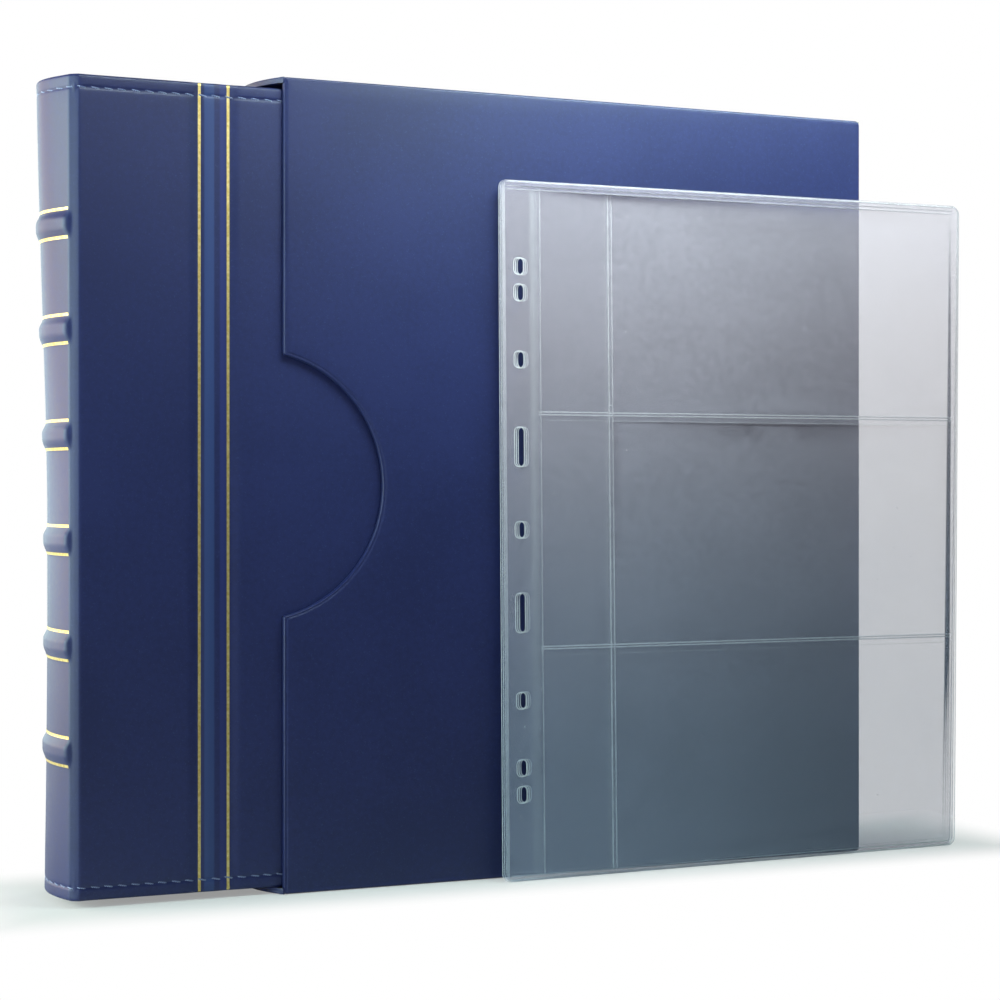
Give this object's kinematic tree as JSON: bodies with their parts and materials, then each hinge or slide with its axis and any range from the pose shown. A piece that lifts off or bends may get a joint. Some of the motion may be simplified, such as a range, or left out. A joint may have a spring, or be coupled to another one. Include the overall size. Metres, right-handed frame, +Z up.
{
  "type": "stamp album",
  "caption": "Ring binder stamp album with a rounded, banded spine, in an open-ended slipcase with thumb cut-outs, with loose pocket pages.",
  "frame": {"origin": "centre of the slipcase's underside", "axes": "+X along the slipcase from its mouth to its closed end, +Y from the front cover to the rear cover, +Z up"},
  "size_m": [0.4463, 0.0692, 0.358],
  "materials": {
    "leather": "satin, fine grain",
    "board": "matte",
    "foam": "matte",
    "lining": "matte",
    "endpaper": "matte",
    "gold_foil": "bright",
    "steel": "bright plated",
    "clear_film": "clear, glossy"
  },
  "bodies": {
    "slipcase": {"case_front_board": "board", "case_rear_board": "board", "case_top_board": "board", "case_bottom_board": "board", "case_end_board": "board", "case_side_leather": "leather", "case_top_leather": "leather", "case_bottom_leather": "leather", "case_lining": "lining"},
    "binder": {"spine_board": "board", "raised_bands": "board", "spine_gold_lines": "gold_foil", "binder_leather": "leather", "front_strip_board": "board", "front_cover_board": "board", "front_padding": "foam", "front_hinge_cord": "foam", "front_endpaper": "endpaper", "front_gold_lines": "gold_foil", "rear_strip_board": "board", "rear_cover_board": "board", "rear_padding": "foam", "rear_hinge_cord": "foam", "rear_endpaper": "endpaper", "rear_gold_lines": "gold_foil", "spine_lining": "lining", "packing_strip": "board", "ring_plate": "steel", "plate_rivets": "steel", "lever_pins": "steel", "filed_pages": "clear_film"},
    "front_rings": {"front_blade": "steel", "front_half_rings": "steel"},
    "rear_rings": {"rear_blade": "steel", "rear_half_rings": "steel"},
    "top_lever": {"top_lever": "steel"},
    "bottom_lever": {"bottom_lever": "steel"},
    "loose_pages": {"loose_page_front": "clear_film", "loose_page_middle": "clear_film", "loose_page_rear": "clear_film"}
  },
  "joints": [
    {"name": "binder_slide", "type": "slide", "parent": "slipcase", "child": "binder", "axis": [1, 0, 0], "range_m": [-0.205, 0.092]},
    {"name": "front_rings_open", "type": "hinge", "parent": "binder", "child": "front_rings", "pos_m": [-0.2346, -0.0099, 0.17815], "axis": [0, 0, -1], "range_deg": [0, 12]},
    {"name": "rear_rings_open", "type": "hinge", "parent": "binder", "child": "rear_rings", "pos_m": [-0.2346, 0.0099, 0.17815], "axis": [0, 0, 1], "range_deg": [0, 12]},
    {"name": "top_lever_turn", "type": "hinge", "parent": "binder", "child": "top_lever", "pos_m": [-0.2344, 0, 0.33165], "axis": [0, -1, 0], "range_deg": [0, 22]},
    {"name": "bottom_lever_turn", "type": "hinge", "parent": "binder", "child": "bottom_lever", "pos_m": [-0.2344, 0, 0.02465], "axis": [0, 1, 0], "range_deg": [0, 22]},
    {"name": "loose_pages_away", "type": "slide", "parent": "slipcase", "child": "loose_pages", "axis": [0, -1, 0], "range_m": [0, 0.16]}
  ],
  "couplings": [
    {"joint": "rear_rings_open", "follows": "front_rings_open", "ratio": 1},
    {"joint": "top_lever_turn", "follows": "front_rings_open", "ratio": 1.8333},
    {"joint": "bottom_lever_turn", "follows": "front_rings_open", "ratio": 1.8333}
  ]
}
